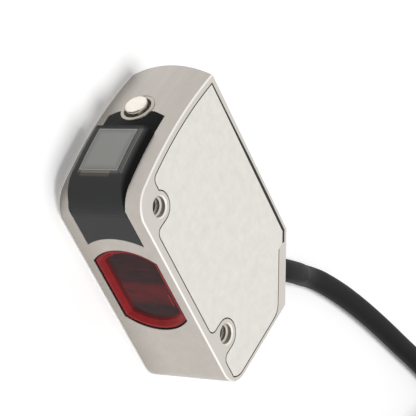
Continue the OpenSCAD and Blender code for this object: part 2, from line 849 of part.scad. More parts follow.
module board_screws() {
    head_r = 1.1;
    head_h = 0.7;
    framed("lightgray") for (p = post_at) translate([p[0], p[1], main_board_z + board_thk]) {
        difference() {
            cylinder(h = head_h, r = head_r);
            translate([-head_r, -0.15, head_h - 0.3]) cube([2 * head_r, 0.3, 1]);
        }
        translate([0, 0, -board_thk - post_h + 0.3]) cylinder(h = board_thk + post_h - 0.3, r = screw_r - 0.02);
    }
}

// Header that joins the sensor board to the main board
module board_link() {
    framed("black") translate([
        sensor_board_x + board_thk + fit_gap, main_board_y0 + 0.45 * main_board_l, main_board_z + board_thk
    ])
        cube([2.25 * board_thk, main_board_l / 4, 2 * board_thk]);
}

module cable_gland() {
    framed("silver") at_heel() {
        heel_tube(-gland_in, 0, gland_r, cable_r + fit_gap);
        heel_tube(0, gland_out, gland_r + 0.5, cable_r + fit_gap);
    }
}

module gland_nut() {
    nut_h = 1.4;
    framed("silver") at_heel() translate([0, 0, -heel_wall - 0.05 - nut_h]) difference() {
        cylinder(h = nut_h, r = gland_r + 1.3, $fn = 6);
        translate([0, 0, -over]) cylinder(h = nut_h + 2 * over, r = gland_r + fit_gap);
    }
}

// Rubber boot with a slight taper
module cable_boot() {
    framed("black") at_heel() rotate_extrude() polygon([
        [cable_r + fit_gap, gland_out], [gland_r + 0.1, gland_out],
        [cable_r + 0.45, boot_end], [cable_r + fit_gap, boot_end]
    ]);
}

// The cable's own end, from inside the housing to the end of the boot
module cable_root() {
    framed("dimgray") at_heel() translate([0, 0, -root_in]) cylinder(h = root_in + boot_end, r = cable_r);
}

module crimp_ring() {
    framed("silver") at_heel() heel_tube(-gland_in - 1.3, -gland_in - 0.2, cable_r + 0.6, cable_r);
}

// Sweep of a round tube: smooth points through the route, then rings square to it
function spline(a, b, c, d, t) = 0.5 * (
    2 * b + (c - a) * t + (2 * a - 5 * b + 4 * c - d) * t * t + (3 * b - a - 3 * c + d) * t * t * t
);
function smooth_route(p, n) = [
    for (i = [0:len(p) - 2], k = [0:n - 1])
        spline(p[max(i - 1, 0)], p[i], p[i + 1], p[min(i + 2, len(p) - 1)], k / n),
    p[len(p) - 1]
];
function unit(v) = v / norm(v);
function heading(p, i) = unit(p[min(i + 1, len(p) - 1)] - p[max(i - 1, 0)]);
function ring(p, t, r, sides) =
    let (u = unit(cross(t, [0, 0, 1])), v = cross(u, t))
    [for (k = [0:sides - 1]) p + r * (cos(360 * (k + 0.5) / sides) * u + sin(360 * (k + 0.5) / sides) * v)];
module swept_tube(p, r, sides, first) {
    rings = [for (i = [0:len(p) - 1]) ring(p[i], i == 0 ? first : heading(p, i), r, sides)];
    last = len(p) - 1;
    polyhedron(
        points = [for (row = rings, q = row) q],
        faces = concat(
            [[for (k = [0:sides - 1]) k]],
            [
                for (i = [0:last - 1], k = [0:sides - 1])
                    let (a = i * sides + k, b = i * sides + (k + 1) % sides)
                        [a, a + sides, b + sides, b]
            ],
            [[for (k = [sides - 1:-1:0]) last * sides + k]]
        )
    );
}

// Four cores from the cable's inner end to the main board
module cable_wires() {
    inner = [for (k = [0, 1]) heel_mid[k] - heel_n[k] * root_in];
    pad = [inner[0] - 1.4, main_board_y0 + 1.6, main_board_z + board_thk + core_r];
    tints = ["saddlebrown", "white", "royalblue", "black"];
    for (i = [0:3]) framed(tints[i]) {
        s = (i - 1.5) * 0.92;
        swept_tube(smooth_route([
            [inner[0] - heel_n[1] * s, inner[1] + heel_n[0] * s, mid_z],
            [inner[0] - heel_n[0] - heel_n[1] * s, inner[1] - heel_n[1] + heel_n[0] * s, mid_z - 0.2],
            [pad[0] + 0.3 + s * 1.1, pad[1] - 1.2, mid_z - 1.4],
            [pad[0] + s * 1.3, pad[1] - 0.2, pad[2] + 0.7],
            [pad[0] + s * 1.3, pad[1] + 1.2, pad[2]]
        ], 2), core_r - 0.05, 6, [-heel_n[0], -heel_n[1], 0]);
    }
}

module cable() {
    framed([0.12, 0.12, 0.12])
        swept_tube(smooth_route(cable_route, 2), cable_r, 8, [heel_n[0], heel_n[1], 0]);
}

// Section of the coil, drawn in by g
module coil_section(g) {
    soft = cable_r;
    w = coil_half_w - g;
    translate([coil_r, coil_h / 2]) polygon(concat(
        arc([w - soft, coil_h / 2 - g - soft], soft, 0, 90, 5),
        arc([soft - w, coil_h / 2 - g - soft], soft, 90, 180, 5),
        arc([soft - w, soft + g - coil_h / 2], soft, 180, 270, 5),
        arc([w - soft, soft + g - coil_h / 2], soft, 270, 360, 5)
    ));
}

// Where the tie pulls the coil in: a slice of the section's outer skin
module tie_band() {
    translate([coil_c[0], coil_c[1], 0]) rotate([0, 0, tie_angle]) translate([0, tie_w / 2, 0])
        rotate([90, 0, 0]) linear_extrude(tie_w) difference() {
            coil_section(0);
            coil_section(tie_thk);
        }
}

module cable_coil() {
    framed([0.12, 0.12, 0.12]) difference() {
        translate([coil_c[0], coil_c[1], 0]) rotate_extrude() coil_section(0);
        translate([coil_c[0], coil_c[1], 0]) rotate([0, 0, tie_angle])
            translate([0, tie_w / 2 + fit_gap, -over]) rotate([90, 0, 0]) linear_extrude(tie_w + 2 * fit_gap)
                difference() {
                    translate([0, 0]) square([coil_r + coil_half_w + over, coil_h + 2 * over]);
                    translate([0, over]) coil_section(tie_thk);
                }
    }
}

module coil_tie() {
    framed("black") tie_band();
}

// The far end lies on the coil: a stretch of jacket, then four bare cores, wound clockwise
module on_coil(a0, length, r, up) {
    translate([coil_c[0], coil_c[1], coil_h + up]) rotate([0, 0, a0])
        rotate_extrude(angle = length / tail_r * 180 / PI, $fn = 128) translate([r, 0]) children();
}
module cable_tail() {
    framed([0.12, 0.12, 0.12]) on_coil(jacket_end, tail_l, tail_r, cable_r) circle(cable_r, $fn = 24);
}
module core_ends() {
    tints = ["saddlebrown", "white", "royalblue", "black"];
    start = jacket_end - core_l / tail_r * 180 / PI;
    for (i = [0:3]) framed(tints[i])
        on_coil(start, core_l, tail_r + (i - 1.5) * (2 * core_r + 0.02), core_r + 0.02) circle(core_r, $fn = 24);
}

housing();
side_cover();
cover_seal();
display_window();
window_seal();
display_glass();
display_module();
display_board();
indicator_leds();
display_flex();
button_collar();
button();
stem_seal();
switch_plunger();
tactile_switch();
switch_board();
lens_window();
lens_seal();
optics_frame();
emitter_lens();
laser_diode();
receiver_lens();
image_sensor();
sensor_board();
main_board();
board_chips();
board_screws();
board_link();
cable_gland();
gland_nut();
cable_boot();
cable_root();
crimp_ring();
cable_wires();
cable();
cable_coil();
coil_tie();
cable_tail();
core_ends();
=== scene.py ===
"""The looks of the laser photoelectric sensor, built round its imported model.

The part's sizes are in millimetres, and MM turns them into Blender's metres. The row's origin is
the middle of the two mounting holes, on the mounting side.
"""
import math

import bpy
from mathutils import Matrix, Vector


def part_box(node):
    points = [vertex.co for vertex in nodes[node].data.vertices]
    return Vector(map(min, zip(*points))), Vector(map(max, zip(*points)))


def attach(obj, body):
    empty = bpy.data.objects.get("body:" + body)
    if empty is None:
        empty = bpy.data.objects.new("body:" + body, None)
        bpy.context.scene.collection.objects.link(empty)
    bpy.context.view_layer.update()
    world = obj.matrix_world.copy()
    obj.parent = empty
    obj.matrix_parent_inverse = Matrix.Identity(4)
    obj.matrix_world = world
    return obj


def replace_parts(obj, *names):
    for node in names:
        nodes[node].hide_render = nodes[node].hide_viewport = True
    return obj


MM = 0.001
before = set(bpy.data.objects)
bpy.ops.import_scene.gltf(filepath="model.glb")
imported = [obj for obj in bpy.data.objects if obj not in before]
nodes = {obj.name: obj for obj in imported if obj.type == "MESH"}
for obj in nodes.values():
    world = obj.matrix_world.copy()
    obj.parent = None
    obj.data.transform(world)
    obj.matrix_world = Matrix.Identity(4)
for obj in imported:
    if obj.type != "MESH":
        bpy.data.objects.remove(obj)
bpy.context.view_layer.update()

# The cable's lead, from its exit, and then the coil: its middle, the angle and the distance at
# which the lead arrives, the height of the lowest turn, and the angle from there to the far end,
# with the angles in degrees
CABLE_R = 1.85
CABLE_START = Vector((20.176, -18.795, 7.4))
LEAD = [
    (0, 0, 7.4), (2.28, -2.17, 7.4), (4.78, -5.17, 7.2), (7.38, -8.17, 6.4), (9.98, -11.17, 5.1),
    (12.58, -14.17, 3.3), (15.18, -17.17, 2.1), (17.78, -20.87, 1.85), (21.08, -26.97, 1.85),
    (24.18, -33.77, 1.85), (27.08, -41.07, 1.85), (29.88, -48.77, 1.85), (32.78, -56.77, 1.85),
    (35.28, -64.47, 1.85), (37.58, -71.87, 1.85), (39.68, -79.17, 1.85), (41.53, -86.17, 1.85),
]
LEAD_FINENESS = 8
COIL_C = Vector((38.256, -111.275, 0))
COIL_START = 15
COIL_R = 24.275
COIL_Z = 1.8875
COIL_END = 5903
COIL_FINENESS = 5
# Steps between turns and between layers, how many of each, and the angle that a step takes
TURN_STEP = 3.85
LAYER_STEP = 3.7656
TURN_STEPS = 3
LAYER_STEPS = 4
SHIFT = 60
# The nearest and the farthest core at the far end, from the coil's middle
CORES_FROM, CORES_TO = 18.51, 22.19

# The threads in the mounting holes: half the widths of the ridge at its root and at its crest
HOLE_Y = 12.7
THREAD_R = 1.5
THREAD_DEPTH = 0.3
THREAD_PITCH = 0.7
THREAD_ROOT, THREAD_CREST = 0.24, 0.06
THREAD_LOW, THREAD_HIGH = 0.55, 14.25
THREAD_FINENESS = 24

# Painted shade in the cover's seam, a dark strip that stands in for the shadow in the gap: its
# inner and outer corners from the top down to the heel, and the heights of its two faces
SEAM_SHADE = [
    ((20.76, 17.83), (21.0, 18.0)), ((20.76, 10), (21.12, 10)), ((20.76, 3), (21.28, 3)),
    ((20.76, -5), (21.34, -5)), ((20.76, -11.29), (21.28, -11.5)),
    ((19.52, -12.69), (20.06, -12.86)),
]
SEAM_SHADE_LOW, SEAM_SHADE_HIGH = 14.6, 14.81

# The lens window: its ends' arcs, its half width and its face. The loops that are drawn in lie
# nearer the top and the cover, by LENS_DRIFT of the inset
LENS_TOP, LENS_BOTTOM = 7.8, -8.3
LENS_END_R = 8.2
LENS_HALF_W = 5.75
LENS_DRIFT = 0.05
LENS_FINENESS = 24
MID_Z = 7.4
FRONT_X = -4.2


def linked(name, data):
    """A new object in the scene."""
    item = bpy.data.objects.new(name, data)
    bpy.context.scene.collection.objects.link(item)
    return item


def make_camera():
    """The photograph's camera, fitted to the part's outlines and holes."""
    right = Vector((0.44441, -0.37378, 0.81412))
    up = Vector((0.67383, 0.73832, -0.02885))
    back = Vector((-0.59030, 0.56140, 0.57998))
    place = Vector((-161.92, 166.80, 182.23)) * MM
    data = bpy.data.cameras.new("camera")
    data.sensor_width = 36
    data.sensor_fit = "HORIZONTAL"
    data.lens = 171.98
    data.clip_start = 0.01
    data.clip_end = 10
    camera = linked("camera", data)
    turn = Matrix((right, up, back)).transposed().to_4x4()
    camera.matrix_world = Matrix.Translation(place) @ turn
    bpy.context.scene.camera = camera


def ease(t):
    """From 0 to 1 with the gentlest bend."""
    t = min(max(t, 0), 1)
    return 2 * t * t if t < 0.5 else 1 - 2 * (1 - t) ** 2


def catmull(points, n):
    """Points of a smooth curve through points, n to a step."""
    out = []
    for i in range(len(points) - 1):
        a, b = points[max(i - 1, 0)], points[i]
        c, d = points[i + 1], points[min(i + 2, len(points) - 1)]
        for k in range(n):
            t = k / n
            out.append(0.5 * (2 * b + (c - a) * t + (2 * a - 5 * b + 4 * c - d) * t ** 2
                              + (3 * b - a - 3 * c + d) * t ** 3))
    return out + [points[-1]]


def coil_points():
    """The turns from the lead's arrival, clockwise. A layer has its steps to the next turn, which
    lead inward and outward by turns, and then a rise to the next layer, so early that the cable
    never meets itself. One more step, on the top layer, leads to the far end."""
    points = []
    for angle in range(COIL_FINENESS, COIL_END + 1, COIL_FINENESS):
        r, z = COIL_R, COIL_Z
        for layer in range(LAYER_STEPS + 1):
            top = layer == LAYER_STEPS
            first = 360 - SHIFT + (360 * (TURN_STEPS + 1) - 2 * SHIFT) * layer
            step = TURN_STEP if layer % 2 else -TURN_STEP
            for k in range(1 if top else TURN_STEPS):
                r += step * ease((angle - first - 360 * k) / SHIFT)
            if not top:
                z += LAYER_STEP * ease((angle - first - 360 * TURN_STEPS + SHIFT) / SHIFT)
        a = math.radians(COIL_START - angle)
        points.append(Vector((COIL_C.x + r * math.cos(a), COIL_C.y + r * math.sin(a), z)))
    return points


def make_cable():
    """The free cable, its whole length, from the heel to the end of the jacket."""
    lead = [Vector((CABLE_START.x + x, CABLE_START.y + y, z)) for x, y, z in LEAD]
    points = catmull(lead, LEAD_FINENESS) + coil_points()
    data = bpy.data.curves.new("free_cable", "CURVE")
    data.dimensions = "3D"
    data.bevel_depth = 1
    data.bevel_resolution = 6
    data.use_fill_caps = True
    spline = data.splines.new("POLY")
    spline.points.add(len(points) - 1)
    for point, p in zip(spline.points, points):
        point.co = (*(p * MM), 1)
        point.radius = CABLE_R * MM
    spline.use_smooth = True
    cable = linked("free_cable", data)
    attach(cable, "root")
    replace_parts(cable, "cable", "cable_coil", "cable_tail")
    data.materials.append(jacket)


def srgb(r, g, b):
    """Linear colour from 0-255 values."""
    return tuple(
        c / 255 / 12.92 if c < 11 else ((c / 255 + 0.055) / 1.055) ** 2.4 for c in (r, g, b)
    )


class Maker:
    """A material with its nodes, made step by step. A mask is 1 where something is seen."""

    def __init__(self, name):
        self.material = bpy.data.materials.new(name)
        self.material.use_nodes = True
        self.tree = self.material.node_tree
        self.shader = self.tree.nodes["Principled BSDF"]
        self.place = self.tree.nodes.new("ShaderNodeTexCoord").outputs["Object"]

    def set(self, **values):
        """Fixed values of the shader, with _ for a space in a name."""
        for name, value in values.items():
            self.shader.inputs[name.replace("_", " ")].default_value = value
        return self

    def link(self, out, name):
        """A node's output as one of the shader's values."""
        self.tree.links.new(out, self.shader.inputs[name])

    def calc(self, operation, *values):
        """One operation on one or two values."""
        node = self.tree.nodes.new("ShaderNodeMath")
        node.operation = operation
        for value, socket in zip(values, node.inputs):
            self.tree.links.new(value, socket)
        return node.outputs[0]

    def span(self, value, low, high, out_low, out_high):
        """From out_low to out_high while value goes from low to high."""
        node = self.tree.nodes.new("ShaderNodeMapRange")
        limits = {"From Min": low, "From Max": high, "To Min": out_low, "To Max": out_high}
        for name, limit in limits.items():
            node.inputs[name].default_value = limit
        self.tree.links.new(value, node.inputs["Value"])
        return node.outputs["Result"]

    def least(self, a, b):
        """The smaller value: where both of two masks are 1."""
        return self.calc("MINIMUM", a, b)

    def band(self, value, low, high, fade, fade_high=None):
        """The mask of the values from low to high, which fades out inside its two ends."""
        last = fade if fade_high is None else fade_high
        return self.least(
            self.span(value, low, low + fade, 0, 1), self.span(value, high - last, high, 1, 0)
        )

    def part(self, axis, vector=None):
        """One axis of the place on the object, or of another vector."""
        split = self.tree.nodes.new("ShaderNodeSeparateXYZ")
        self.tree.links.new(self.place if vector is None else vector, split.inputs[0])
        return split.outputs[axis]

    def reach(self, centre):
        """The distance from an upright line through centre."""
        flat = self.tree.nodes.new("ShaderNodeMapping")
        flat.inputs["Location"].default_value = (-centre.x * MM, -centre.y * MM, 0)
        flat.inputs["Scale"].default_value = (1, 1, 0)
        size = self.tree.nodes.new("ShaderNodeVectorMath")
        size.operation = "LENGTH"
        self.tree.links.new(self.place, flat.inputs["Vector"])
        self.tree.links.new(flat.outputs["Vector"], size.inputs[0])
        return size.outputs["Value"]

    def lean(self):
        """How far the surface faces the sides, from 0 to 1."""
        normal = self.tree.nodes.new("ShaderNodeTexCoord").outputs["Normal"]
        return self.calc("ABSOLUTE", self.part("Z", normal))

    def noise(self, scale, detail=3, roughness=0.5, stretch=(1, 1, 1), distortion=0):
        """A cloudy pattern, scale to the metre."""
        mapping = self.tree.nodes.new("ShaderNodeMapping")
        mapping.inputs["Scale"].default_value = [s * scale for s in stretch]
        noise = self.tree.nodes.new("ShaderNodeTexNoise")
        noise.inputs["Scale"].default_value = 1
        noise.inputs["Detail"].default_value = detail
        noise.inputs["Roughness"].default_value = roughness
        noise.inputs["Distortion"].default_value = distortion
        self.tree.links.new(self.place, mapping.inputs["Vector"])
        self.tree.links.new(mapping.outputs["Vector"], noise.inputs["Vector"])
        return noise.outputs["Fac"]

    def bump(self, height, strength, distance, normal=None):
        """A surface raised and sunk along height, on top of another normal."""
        node = self.tree.nodes.new("ShaderNodeBump")
        node.inputs["Strength"].default_value = strength
        node.inputs["Distance"].default_value = distance * MM
        self.tree.links.new(height, node.inputs["Height"])
        if normal is not None:
            self.tree.links.new(normal, node.inputs["Normal"])
        return node.outputs["Normal"]

    def rounded(self, radius):
        """The normal of edges that are rounded off."""
        node = self.tree.nodes.new("ShaderNodeBevel")
        node.samples = 4
        node.inputs["Radius"].default_value = radius * MM
        return node.outputs["Normal"]

    def ramp(self, value, stops):
        """Colours along value, from pairs of a position and a colour."""
        ramp = self.tree.nodes.new("ShaderNodeValToRGB")
        while len(ramp.color_ramp.elements) < len(stops):
            ramp.color_ramp.elements.new(0.5)
        for element, (position, colour) in zip(ramp.color_ramp.elements, stops):
            element.position = position
            element.color = (*colour, 1)
        self.tree.links.new(value, ramp.inputs["Fac"])
        return ramp.outputs["Color"]

    def colour(self, base, spread, fac):
        """The base colour, a little darker and lighter along fac."""
        dark = [c * (1 - spread) for c in base]
        light = [min(c * (1 + spread), 1) for c in base]
        self.link(self.ramp(fac, [(0.3, dark), (0.7, light)]), "Base Color")
        return self

    def over(self, mask, colour):
        """Another base colour where the mask is 1."""
        mix = self.tree.nodes.new("ShaderNodeMix")
        mix.data_type = "RGBA"
        below, above = [socket for socket in mix.inputs if socket.type == "RGBA"]
        self.tree.links.new(mask, mix.inputs["Factor"])
        self.tree.links.new(self.shader.inputs["Base Color"].links[0].from_socket, below)
        above.default_value = (*colour, 1)
        self.link([out for out in mix.outputs if out.type == "RGBA"][0], "Base Color")

    def by_lean(self, bevel_highlight, side):
        """The colours of the flat sides and of faces that lean between them and the faces round
        them. The leaning faces carry a painted highlight, the flat sides are painted lighter for
        the light that falls on them, and painted shade darkens the faces round them towards the
        mounting side."""
        lean = self.lean()
        # Painted shade: the faces round the flat sides grow darker towards the mounting side.
        foot_shade = self.span(self.part("Z"), 0, 5 * MM, 0.5, 0)
        self.over(self.least(foot_shade, self.span(lean, 0.5, 0.6, 1, 0)), srgb(150, 145, 138))
        # Painted highlight on the leaning faces.
        self.over(self.band(lean, 0.5, 0.95, 0.1), bevel_highlight)
        # The flat sides are painted lighter, for the light that falls on them.
        self.over(self.span(lean, 0.95, 0.98, 0, 1), side)


def satin_metal(
    name, base, rough, grain, stretch=(1, 1, 1), metallic=0.85, edge=0.12, bevel_highlight=None, side=None
):
    """Cast and plated metal: a faint mottle, a fine grain in its height and roughness, and softened
    edges. The colour for the faces that lean between the flat sides is a painted highlight, and the
    colour for the flat sides is lighter to paint the light that falls on them."""
    m = Maker(name).set(Metallic=metallic)
    fine = m.noise(9000, 4, 0.6, stretch)
    m.colour(base, 0.05, m.noise(600, 5, 0.7, stretch))
    if bevel_highlight:
        m.by_lean(bevel_highlight, side)
    m.link(m.span(fine, 0.3, 0.7, rough - 0.06, rough + 0.08), "Roughness")
    m.link(m.bump(fine, grain, 0.02, m.rounded(edge)), "Normal")
    return m.material


def plain(name, base, rough, scale=1500, spread=0.06, grain=0.1, edge=0.08, **values):
    """Moulded plastic or rubber: a faint mottle, a fine grain and softened edges."""
    m = Maker(name).set(**values)
    fac = m.noise(scale, 3)
    m.colour(base, spread, fac)
    m.link(m.span(fac, 0.3, 0.7, rough - 0.05, rough + 0.05), "Roughness")
    m.link(m.bump(m.noise(scale * 4, 2), grain, 0.02, m.rounded(edge)), "Normal")
    return m.material


def clear_plastic():
    """The plastic of the two lenses inside."""
    m = Maker("clear_plastic").set(Roughness=0.05, IOR=1.5, Transmission_Weight=1.0)
    m.colour(srgb(235, 240, 240), 0.01, m.noise(300))
    return m.material


def contacts(m, z, low, high):
    """The mask of the display's contacts, along the width of its glass."""
    width = high.z - low.z
    return m.band(z, low.z + 0.08 * width, low.z + 0.8 * width, 0.01 * width)


def screen_material():
    """Display under its glass: a fine pale line round the picture, a dark band beside and under it,
    and a warm strip where its contacts are."""
    m = Maker("screen_grey").set(IOR=1.5)
    x, z = m.part("X"), m.part("Z")
    low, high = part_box("display_glass")
    left, right = low.z + 0.2 * MM, high.z - 0.3 * MM
    front, back = low.x + 0.45 * MM, high.x - 0.15 * MM
    inside = m.least(m.band(x, front, back, MM), m.band(z, left, right, MM))
    tone = m.ramp(inside, [
        (0.0, srgb(68, 68, 66)), (0.01, srgb(172, 172, 167)), (0.1, srgb(172, 172, 167)),
        (0.14, srgb(112, 112, 109)), (0.3, srgb(132, 132, 129)), (1.0, srgb(147, 147, 143)),
    ])
    m.link(tone, "Base Color")
    under = m.span(x, front - 0.1 * MM, front - 0.05 * MM, 1, 0)
    m.over(m.least(under, contacts(m, z, low, high)), srgb(112, 108, 98))
    m.link(m.span(m.noise(700, 2), 0.3, 0.7, 0.12, 0.18), "Roughness")
    return m.material


def smoked_plastic():
    """Dark glossy plastic; its flanks and its flush end take less light than the rest. The display
    shows through it round the screen: its frame, the frame's edge and its contacts."""
    m = Maker("smoked_plastic").set(IOR=1.42)
    fac = m.noise(700, 3)
    m.colour(srgb(16, 17, 17), 0.06, fac)
    m.link(m.span(fac, 0.3, 0.7, 0.05, 0.1), "Roughness")
    x, z = m.part("X"), m.part("Z")
    low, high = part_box("display_glass")
    frame_seen = m.least(
        m.band(x, low.x, high.x, 0.4 * MM, 0.1 * MM),
        m.band(z, high.z - 0.1 * MM, high.z + 1.1 * MM, 0.1 * MM, 1.1 * MM),
    )
    m.over(frame_seen, srgb(92, 92, 89))
    edge_z = high.z + 0.6 * MM
    edge_seen = m.least(
        m.band(x, low.x, high.x, 0.1 * MM),
        m.band(z, edge_z - 0.08 * MM, edge_z + 0.08 * MM, 0.05 * MM),
    )
    m.over(edge_seen, srgb(124, 124, 120))
    contacts_seen = m.least(
        m.band(x, low.x - 0.55 * MM, low.x + 0.05 * MM, 0.2 * MM, 0.05 * MM),
        contacts(m, z, low, high),
    )
    m.over(contacts_seen, srgb(70, 67, 58))
    flank = m.span(m.lean(), 0.6, 0.95, 0.5, 0.05)
    flush = m.span(x, high.x, high.x + 0.6 * MM, 0.5, 0.1)
    m.link(m.least(flank, flush), "Specular IOR Level")
    m.link(m.bump(m.noise(60, 2), 0.06, 0.05, m.rounded(0.12)), "Normal")
    return m.material


def lens_interior():
    """The dark floor of the lens window, with a maroon band between the two optics, which is the
    frame's face there with painted light on it, a painted red highlight by the wall and a faint
    ledge."""
    m = Maker("lens_interior").set(Roughness=0.15, Specular_IOR_Level=0.1)
    y, z = m.part("Y"), m.part("Z")
    cloud = m.noise(560, 5, 0.65, (1, 1, 0.45), 0.8)
    m.link(m.ramp(cloud, [(0.3, srgb(45, 29, 31)), (0.75, srgb(73, 33, 36))]), "Base Color")
    # The frame's face between the optics, made lighter with painted light.
    glow = m.band(y, -4.3 * MM, 0.6 * MM, 1.9 * MM, 1.1 * MM)
    m.over(m.least(glow, m.span(cloud, 0.35, 0.62, 0.3, 1)), srgb(108, 33, 36))
    # The first streak is a painted red highlight by the wall, and the second is the faint ledge.
    for low, high, inner, outer, colour in (
        (-4.1, -1.9, 10.8, 11.14, srgb(191, 41, 44)), (2.9, 3.15, 6.4, 10.2, srgb(89, 33, 36)),
    ):
        streak = m.least(
            m.band(y, low * MM, high * MM, 0.1 * MM), m.band(z, inner * MM, outer * MM, 0.1 * MM)
        )
        m.over(streak, colour)
    return m.material


def core_sheaths():
    """The insulation of the four cores at the cable's far end, by their distance from the middle of
    the coil: brown, white, blue and black."""
    m = Maker("core_sheaths").set(Roughness=0.4)
    across = m.span(m.reach(COIL_C), CORES_FROM * MM, CORES_TO * MM, 0, 1)
    colours = m.ramp(across, [
        (0, srgb(92, 58, 36)), (0.25, srgb(215, 213, 208)),
        (0.5, srgb(38, 72, 140)), (0.75, srgb(26, 26, 27)),
    ])
    colours.node.color_ramp.interpolation = "CONSTANT"
    m.link(colours, "Base Color")
    m.link(m.bump(m.noise(2500, 2), 0.08, 0.02), "Normal")
    return m.material


# The housing's leaning faces get a painted highlight, and its flat sides a lighter colour that
# paints the light falling on them.
shell = satin_metal(
    "shell_metal", srgb(190, 184, 177), 0.38, 0.25, (0.12, 1, 1), edge=0.06,
    bevel_highlight=srgb(242, 239, 233), side=srgb(209, 204, 196),
)
cover = satin_metal("cover_metal", srgb(226, 223, 217), 0.42, 0.15, edge=0.05)
fitting = satin_metal("fitting_metal", srgb(205, 205, 203), 0.3, 0.1)
cut_metal = satin_metal("cut_metal", srgb(214, 208, 200), 0.4, 0.1, metallic=0.8)
gold = satin_metal("gold_plate", srgb(212, 175, 90), 0.3, 0.1)
button_steel = satin_metal("button_steel", srgb(240, 234, 224), 0.16, 0.03, metallic=1, edge=0.2)
smoked = smoked_plastic()
screen = screen_material()
lens_red = plain(
    "lens_red", srgb(155, 31, 35), 0.12, scale=500, spread=0.14, grain=0.01, edge=0.05,
    Specular_IOR_Level=0.13,
)
# A darker copy of the rim's red for the sloping inner wall: painted shade in the recess.
lens_red_shaded = plain(
    "lens_red_shaded", srgb(112, 28, 32), 0.2, scale=500, spread=0.14, grain=0.01,
    Specular_IOR_Level=0.1,
)
lens_dark = lens_interior()
# Black for the ring that stands in for the shade in the gap round the lens.
lens_shade_black = plain("lens_shade_black", srgb(10, 10, 10), 0.6, Specular_IOR_Level=0.05)
seal_tape = plain("seal_tape", srgb(205, 190, 185), 0.6)
clear = clear_plastic()
black_plastic = plain("black_plastic", srgb(36, 36, 37), 0.45)
rubber = plain("seal_rubber", srgb(24, 24, 25), 0.7)
jacket = plain(
    "cable_jacket", srgb(39, 39, 40), 0.55, scale=900, grain=0.2, edge=0.02,
    Specular_IOR_Level=0.04,
)
cores = core_sheaths()
tie_black = plain("tie_black", srgb(20, 20, 21), 0.55)
board_green = plain("board_green", srgb(24, 84, 52), 0.4)
chip_black = plain("chip_black", srgb(28, 28, 30), 0.55)
amber = plain("lamp_amber", srgb(235, 150, 40), 0.25)

MATERIALS = {
    "housing": shell, "side_cover": cover, "cover_seal": rubber,
    "display_window": smoked, "window_seal": rubber, "display_glass": screen,
    "display_module": black_plastic, "display_board": board_green, "indicator_leds": amber,
    "display_flex": gold, "button_collar": shell, "button": button_steel, "stem_seal": rubber,
    "switch_plunger": black_plastic, "tactile_switch": black_plastic, "switch_board": board_green,
    "lens_window": lens_red, "lens_seal": seal_tape, "optics_frame": black_plastic,
    "emitter_lens": clear, "laser_diode": gold, "receiver_lens": clear,
    "image_sensor": chip_black, "sensor_board": board_green, "main_board": board_green,
    "board_chips": chip_black, "board_screws": fitting, "board_link": black_plastic,
    "cable_gland": fitting, "gland_nut": fitting, "cable_boot": rubber, "cable_root": jacket,
    "crimp_ring": fitting, "cable_wires": jacket, "coil_tie": tie_black, "core_ends": cores,
    "cable": jacket, "cable_coil": jacket, "cable_tail": jacket,
}


def dress_nodes():
    """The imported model's materials."""
    for node, material in MATERIALS.items():
        data = nodes[node].data
        data.materials.clear()
        data.materials.append(material)


def add_mesh(name, verts, faces, material):
    """A piece of its own, from corners in millimetres."""
    mesh = bpy.data.meshes.new(name)
    mesh.from_pydata([v * MM for v in verts], [], faces)
    mesh.update()
    mesh.materials.append(material)
    piece = linked(name, mesh)
    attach(piece, "root")
    return piece


def thread(name, y):
    """The ridge of a screw thread on the wall of a mounting hole."""
    root, crest = THREAD_R + 0.02, THREAD_R - THREAD_DEPTH
    profile = [
        (root, -THREAD_ROOT), (crest, -THREAD_CREST), (crest, THREAD_CREST), (root, THREAD_ROOT),
    ]
    count = int((THREAD_HIGH - THREAD_LOW) / THREAD_PITCH * THREAD_FINENESS)
    verts, faces = [], []
    for i in range(count + 1):
        a = 2 * math.pi * i / THREAD_FINENESS
        z = THREAD_LOW + THREAD_PITCH * i / THREAD_FINENESS
        for r, up in profile:
            verts.append(Vector((r * math.cos(a), y + r * math.sin(a), z + up)))
    for i in range(count):
        for k in range(4):
            a, b = 4 * i + k, 4 * i + (k + 1) % 4
            faces.append((a, b, b + 4, a + 4))
    faces += [(3, 2, 1, 0), tuple(4 * count + k for k in range(4))]
    add_mesh(name, verts, faces, cut_metal)


def make_seam_shade():
    """A dark strip in the seam behind the cover plate: painted shade that stands in for the shadow
    in the gap.
    """
    verts, faces = [], []
    for inner, outer in SEAM_SHADE:
        verts += [Vector((*inner, SEAM_SHADE_LOW)), Vector((*inner, SEAM_SHADE_HIGH))]
        verts += [Vector((*outer, SEAM_SHADE_HIGH)), Vector((*outer, SEAM_SHADE_LOW))]
    last = len(verts) - 4
    for i in range(0, last, 4):
        for k in range(4):
            a, b = i + k, i + (k + 1) % 4
            faces.append((a, a + 4, b + 4, b))
    faces += [(0, 1, 2, 3), (last + 3, last + 2, last + 1, last)]
    add_mesh("cover_seam_shade", verts, faces, rubber)


def lens_loop(inset, depth):
    """The lens window's outline, drawn in by inset and set back by depth."""
    r, w = LENS_END_R - inset, LENS_HALF_W - inset
    shift = LENS_DRIFT * inset
    low, high = LENS_TOP - LENS_END_R + shift, LENS_BOTTOM + LENS_END_R + shift
    half = math.asin(w / r)
    loop = []
    for centre, side in ((low, 1), (high, -1)):
        for i in range(LENS_FINENESS + 1):
            a = half * (1 - 2 * i / LENS_FINENESS)
            y, z = centre + side * r * math.cos(a), MID_Z + shift + side * r * math.sin(a)
            loop.append(Vector((FRONT_X + depth, y, z)))
    return loop


